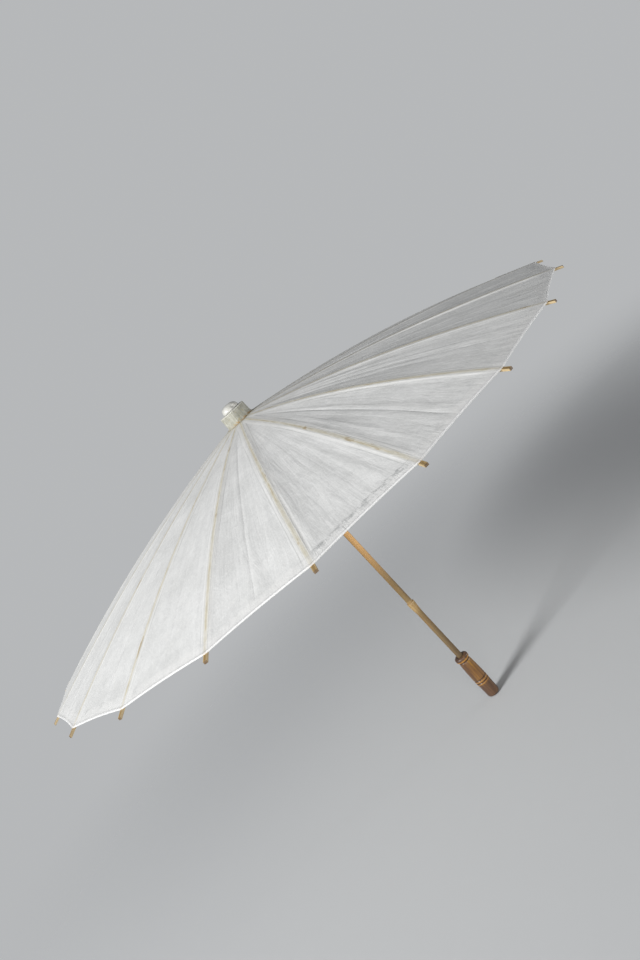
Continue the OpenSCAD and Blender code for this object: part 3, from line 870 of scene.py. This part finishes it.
def build_collar(material):
    """The wrap round the hub: a wound band with overlapping folds, and a ragged foot on the paper."""
    random = np.random.default_rng(SEED + 1)
    sides = 240
    turn = np.linspace(0, 2 * math.pi, sides, endpoint=False)

    def fold():
        """The turn that it lies at, its height, and how it runs askew."""
        return random.uniform(0, 2 * math.pi), random.uniform(0.25, 0.6) * MM, random.uniform(-1, 1)

    folds = [fold() for _ in range(7)]
    folds.append(WRAP_END)
    ragged = 0.5 + 0.2 * np.sin(3 * turn + 1) + 0.18 * np.sin(7 * turn) + 0.12 * np.sin(13 * turn + 2)
    skirt_r = COLLAR_R + 0.8 * MM + 2.2 * MM * ragged
    wall, inner = 1.5 * MM, SHAFT_R + 0.1 * MM
    height = COLLAR_TOP - COLLAR_LOW
    top_r = COLLAR_R - 0.3 * MM
    up_side, over_top = np.linspace(0.08, 0.93, 14), np.linspace(0.08, 1, 10)
    # Each row's radius, its height, and how loose the wrap is there
    outline = [
        (COLLAR_R + 0.5 * MM, COLLAR_LOW - 0.5 * MM, 0.6),
        (COLLAR_R + 0.1 * MM, COLLAR_LOW + 0.5 * MM, 0.9),
        *[(COLLAR_R + (top_r - COLLAR_R) * t, COLLAR_LOW + height * t, 1.0) for t in up_side],
        (top_r - 0.15 * MM, COLLAR_TOP - 0.5 * MM, 1.0),
        (top_r - 0.5 * MM, COLLAR_TOP - 0.12 * MM, 1.0),
        *[(top_r + (inner - top_r) * t, COLLAR_TOP, 1 - t) for t in over_top],
        (inner, COLLAR_TOP - wall, 0),
        (top_r - wall, COLLAR_TOP - wall, 0),
        (COLLAR_R - wall, COLLAR_LOW + 0.3 * MM, 0),
        (COLLAR_R - wall, COLLAR_LOW - 0.5 * MM, 0),
    ]
    rows = []
    for r, z, loose in outline:
        facets = 0.30 * MM * (np.abs(np.sin(RIB_COUNT / 2 * turn + 0.4)) - 0.6)
        pleats = np.zeros(sides)
        for at, high, skew in folds:
            off = (turn - at - skew * 0.12 * (z - COLLAR_LOW) / height + math.pi) % (2 * math.pi) - math.pi
            pleats += high * np.where(off > 0, np.exp(-off / 0.30), np.exp(off / 0.035)) - 0.15 * high
        swell = loose * (facets + pleats)
        radius = r + swell
        lift = 0.35 * swell if z >= COLLAR_TOP - 0.01 * MM else 0
        rows.append(np.stack([radius * np.cos(turn), radius * np.sin(turn), z + lift + 0 * turn], axis=-1))
    on_paper = np.polyval(RIDGE, skirt_r) - LOWERED + 0.25 * MM
    rows.insert(0, np.stack([skirt_r * np.cos(turn), skirt_r * np.sin(turn), on_paper], axis=-1))
    points = np.array(rows)[:, ::-1]
    piece = make_object("collar_wrap", grid_mesh("collar_wrap", points, around=True, closed=True), material)
    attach(piece, "root")
    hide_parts("collar")


# The button's waist and dome, the chip in its side, and how far it is tilted and moved towards one side
WAIST_HEIGHT, DOME_RISE, DOME_POWER = 1.2 * MM, 8.2 * MM, 0.72
CHIP_TURN = math.radians(284)
CHIP_UP, CHIP_SPREAD, CHIP_DEPTH = 3.8 * MM, 2.3 * MM, 1.9 * MM
BUTTON_SIDE = math.radians(166)
BUTTON_TILT, BUTTON_SHIFT = 0.03, 0.5 * MM


def build_button(material):
    """The lacquered button: a domed boss with a chip knocked out of its side."""
    wide, bulge = BUTTON_R - 0.1 * MM, BUTTON_LOW + WAIST_HEIGHT
    angles = np.radians(np.linspace(0, 87, 22))
    dome = [(wide * math.cos(a) ** DOME_POWER, bulge + DOME_RISE * math.sin(a)) for a in angles]
    up_waist = np.linspace(0, 0.9, 6)
    waist = [(wide - 1.0 * MM * (1 - t) ** 2, BUTTON_LOW + WAIST_HEIGHT * t) for t in up_waist]
    outline = [(0.3 * MM, BUTTON_LOW), *waist, *dome]
    mesh = lathe_mesh("top_button", smooth_profile(outline))
    chip = np.array([wide * math.cos(CHIP_TURN), wide * math.sin(CHIP_TURN), BUTTON_LOW + CHIP_UP])
    lean = Vector((math.cos(BUTTON_SIDE), math.sin(BUTTON_SIDE), 0))
    for v in mesh.vertices:
        near = math.exp(-((np.linalg.norm(np.array(v.co) - chip) / CHIP_SPREAD) ** 2))
        outward = Vector((v.co.x, v.co.y, 0)).normalized()
        v.co -= outward * (CHIP_DEPTH * near)
        v.co.z += BUTTON_TILT * lean.dot(v.co) * smooth(v.co.z, BUTTON_LOW, bulge)
        v.co -= lean * BUTTON_SHIFT
    piece = make_object("top_button", mesh, material)
    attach(piece, "root")
    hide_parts("button")


def build_handle(material):
    """The turned handle: a bead, a swelling barrel, two grooves, a tapering grip and a rounded butt."""
    top, barrel, grip = HANDLE_TOP, BARREL_R, GRIP_R
    outline = [
        (4.6 * MM, top - 0.6 * MM), (5.4 * MM, top - 0.1 * MM),
        *[(BEAD_R + BEAD_ROUND * (math.cos(a) - 1), top + BEAD_ROUND * (math.sin(a) - 1))
          for a in np.radians(np.linspace(82, -8, 12))],
        (BEAD_R - 0.1 * MM, top - 5.8 * MM), (BEAD_R - 0.9 * MM, top - 7.1 * MM),
        *[(radius * MM, top - below * MM) for radius, below in NECK_AND_BARREL],
        (barrel, top - 39.5 * MM),
    ]
    for groove in GROOVES:
        outline += [(barrel - deep * MM, top - groove + up * MM) for deep, up in GROOVE_SHAPE]
    outline += [
        (barrel - 0.1 * MM, GRIP_TOP + 1.5 * MM), (grip + 0.35 * MM, GRIP_TOP - 1 * MM),
        (grip, 0), (grip - 0.2 * MM, -GRIP_TOP),
    ]
    outline += [
        (grip - 3.8 * MM + BUTT_ROUND * math.cos(a), HANDLE_LOW + 3.7 * MM - BUTT_ROUND * math.sin(a))
        for a in np.radians(np.linspace(12, 84, 10))
    ]
    outline += [(3.0 * MM, HANDLE_LOW + 0.05 * MM), (0.4 * MM, HANDLE_LOW)]
    profile = smooth_profile(outline)[::-1]
    piece = make_object("turned_handle", lathe_mesh("turned_handle", profile, 128), material)
    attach(piece, "root")
    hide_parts("handle")


# ---- the CAD nodes that show

# Each bamboo's pale, deep and weathered tones
RIB_TONES = ((0.42, 0.30, 0.135), (0.27, 0.17, 0.065), (0.35, 0.22, 0.09))
STRETCHER_TONES = ((0.60, 0.46, 0.25), (0.42, 0.30, 0.14), (0.50, 0.36, 0.18))


def dress(material, *nodes):
    for node in nodes:
        NODES[node].data.materials.clear()
        NODES[node].data.materials.append(material)


# A bevel's width, the angle that an edge is bevelled from, and the distance within which points are joined
BEVEL_WIDTH, BEVEL_ANGLE, WELD_DISTANCE = 0.35 * MM, math.radians(35), 0.005 * MM


def soften(*nodes):
    """Small bevels on the sharp edges of CAD nodes, as modifiers."""
    for node in nodes:
        piece = NODES[node]
        weld = piece.modifiers.new("weld", "WELD")
        weld.merge_threshold = WELD_DISTANCE
        bevel = piece.modifiers.new("bevel", "BEVEL")
        bevel.width = BEVEL_WIDTH
        bevel.segments = 2
        bevel.limit_method = "ANGLE"
        bevel.angle_limit = BEVEL_ANGLE
        bevel.use_clamp_overlap = True


# ---- floor, light and camera

# The floor's height, half its width, and the distances from the origin over which it fades out
FLOOR_Z = HANDLE_LOW - 0.5 * MM
FLOOR_HALF = 3.0
FLOOR_FADE = (0.45, 1.5)
FLOOR_COLOUR, BACKDROP = (0.50, 0.51, 0.52, 1), (0.47, 0.48, 0.49, 1)
SURROUND, SURROUND_STRENGTH = (0.92, 0.95, 1.0, 1), 0.17
# Each light's name, its direction and distance from the canopy's middle, its size, watts and colour
CANOPY_MIDDLE = Vector((0, 0, 0.44))
LIGHTS = [
    ("key", Vector((-0.882, -0.236, 0.407)), 4.5, 1.6, 254, (1.0, 1.0, 0.995)),
    ("fill", Vector((-0.2, -0.98, 0.06)), 3.5, 2.0, 66, (1.0, 0.99, 0.97)),
    ("rim", Vector((0.94, -0.30, -0.15)), 2.2, 0.4, 16, (1.0, 1.0, 1.0)),
]
CAMERA_PLACE = (-0.250, -1.129, 0.573)
CAMERA_TURN = [math.radians(a) for a in (76.51, 42.02, -22.74)]
SENSOR, LENS = 36.0, 33.8


def build_floor():
    """A pale floor that fades into the backdrop, seen only from above."""
    s = Shader("pale_floor")
    s.set(Base_Color=FLOOR_COLOUR, Roughness=0.9)
    far = s.tree.nodes.new("ShaderNodeVectorMath")
    far.operation = "LENGTH"
    s.join(s.coordinates(), far.inputs[0])
    clear = s.tree.nodes.new("ShaderNodeBsdfTransparent")
    behind = s.tree.nodes.new("ShaderNodeNewGeometry").outputs["Backfacing"]
    fade = s.calc("MAXIMUM", s.step(far.outputs["Value"], *FLOOR_FADE), behind)
    s.blend(fade, clear)
    mesh = bpy.data.meshes.new("floor")
    signs = ((-1, -1), (1, -1), (1, 1), (-1, 1))
    corners = [(x * FLOOR_HALF, y * FLOOR_HALF, FLOOR_Z) for x, y in signs]
    mesh.from_pydata(corners, [], [(0, 1, 2, 3)])
    floor = make_object("floor", mesh, s.material)


def build_world():
    """An even pale surround, which the camera sees as the backdrop's colour."""
    world = bpy.data.worlds.new("studio")
    bpy.context.scene.world = world
    world.use_nodes = True
    nodes, links = world.node_tree.nodes, world.node_tree.links
    nodes.clear()
    around, seen = nodes.new("ShaderNodeBackground"), nodes.new("ShaderNodeBackground")
    around.inputs["Color"].default_value = SURROUND
    around.inputs["Strength"].default_value = SURROUND_STRENGTH
    seen.inputs["Color"].default_value = BACKDROP
    mix, path = nodes.new("ShaderNodeMixShader"), nodes.new("ShaderNodeLightPath")
    output = nodes.new("ShaderNodeOutputWorld")
    links.new(path.outputs["Is Camera Ray"], mix.inputs[0])
    links.new(around.outputs[0], mix.inputs[1])
    links.new(seen.outputs[0], mix.inputs[2])
    links.new(mix.outputs[0], output.inputs["Surface"])


def add_area_light(name, direction, distance, size, power, colour):
    data = bpy.data.lights.new(name, "AREA")
    data.shape = "DISK"
    data.size = size
    data.energy = power
    data.color = colour
    lamp = bpy.data.objects.new(name, data)
    direction = direction.normalized()
    lamp.location = CANOPY_MIDDLE + direction * distance
    lamp.rotation_euler = direction.to_track_quat("Z", "Y").to_euler()
    bpy.context.scene.collection.objects.link(lamp)


def build_camera():
    data = bpy.data.cameras.new("camera")
    data.sensor_width = SENSOR
    data.lens = LENS
    camera = bpy.data.objects.new("camera", data)
    camera.location = CAMERA_PLACE
    camera.rotation_euler = Euler(CAMERA_TURN)
    bpy.context.scene.collection.objects.link(camera)
    bpy.context.scene.camera = camera


def main():
    bpy.context.scene.view_settings.view_transform = "Standard"
    build_camera()
    build_world()
    for light in LIGHTS:
        add_area_light(*light)
    build_floor()
    build_canopy(paper_material())
    build_collar(wrap_material())
    build_button(button_material())
    build_handle(stained_wood_material())
    ribs = [n for n in NODES if n.startswith("rib_")]
    stretchers = [n for n in NODES if n.startswith("stretcher_")]
    dress(split_bamboo_material("rib_bamboo", *RIB_TONES), *ribs)
    dress(split_bamboo_material("stretcher_bamboo", *STRETCHER_TONES), *stretchers)
    dress(cane_material(), "shaft")
    dress(plain_wood_material(), "hub", "runner", "spring_catch")
    dress(thread_material(), "hub_thread", "runner_thread")
    dress(steel_material(), "catch_pin", "catch_spring")
    soften(*ribs, *stretchers)


main()
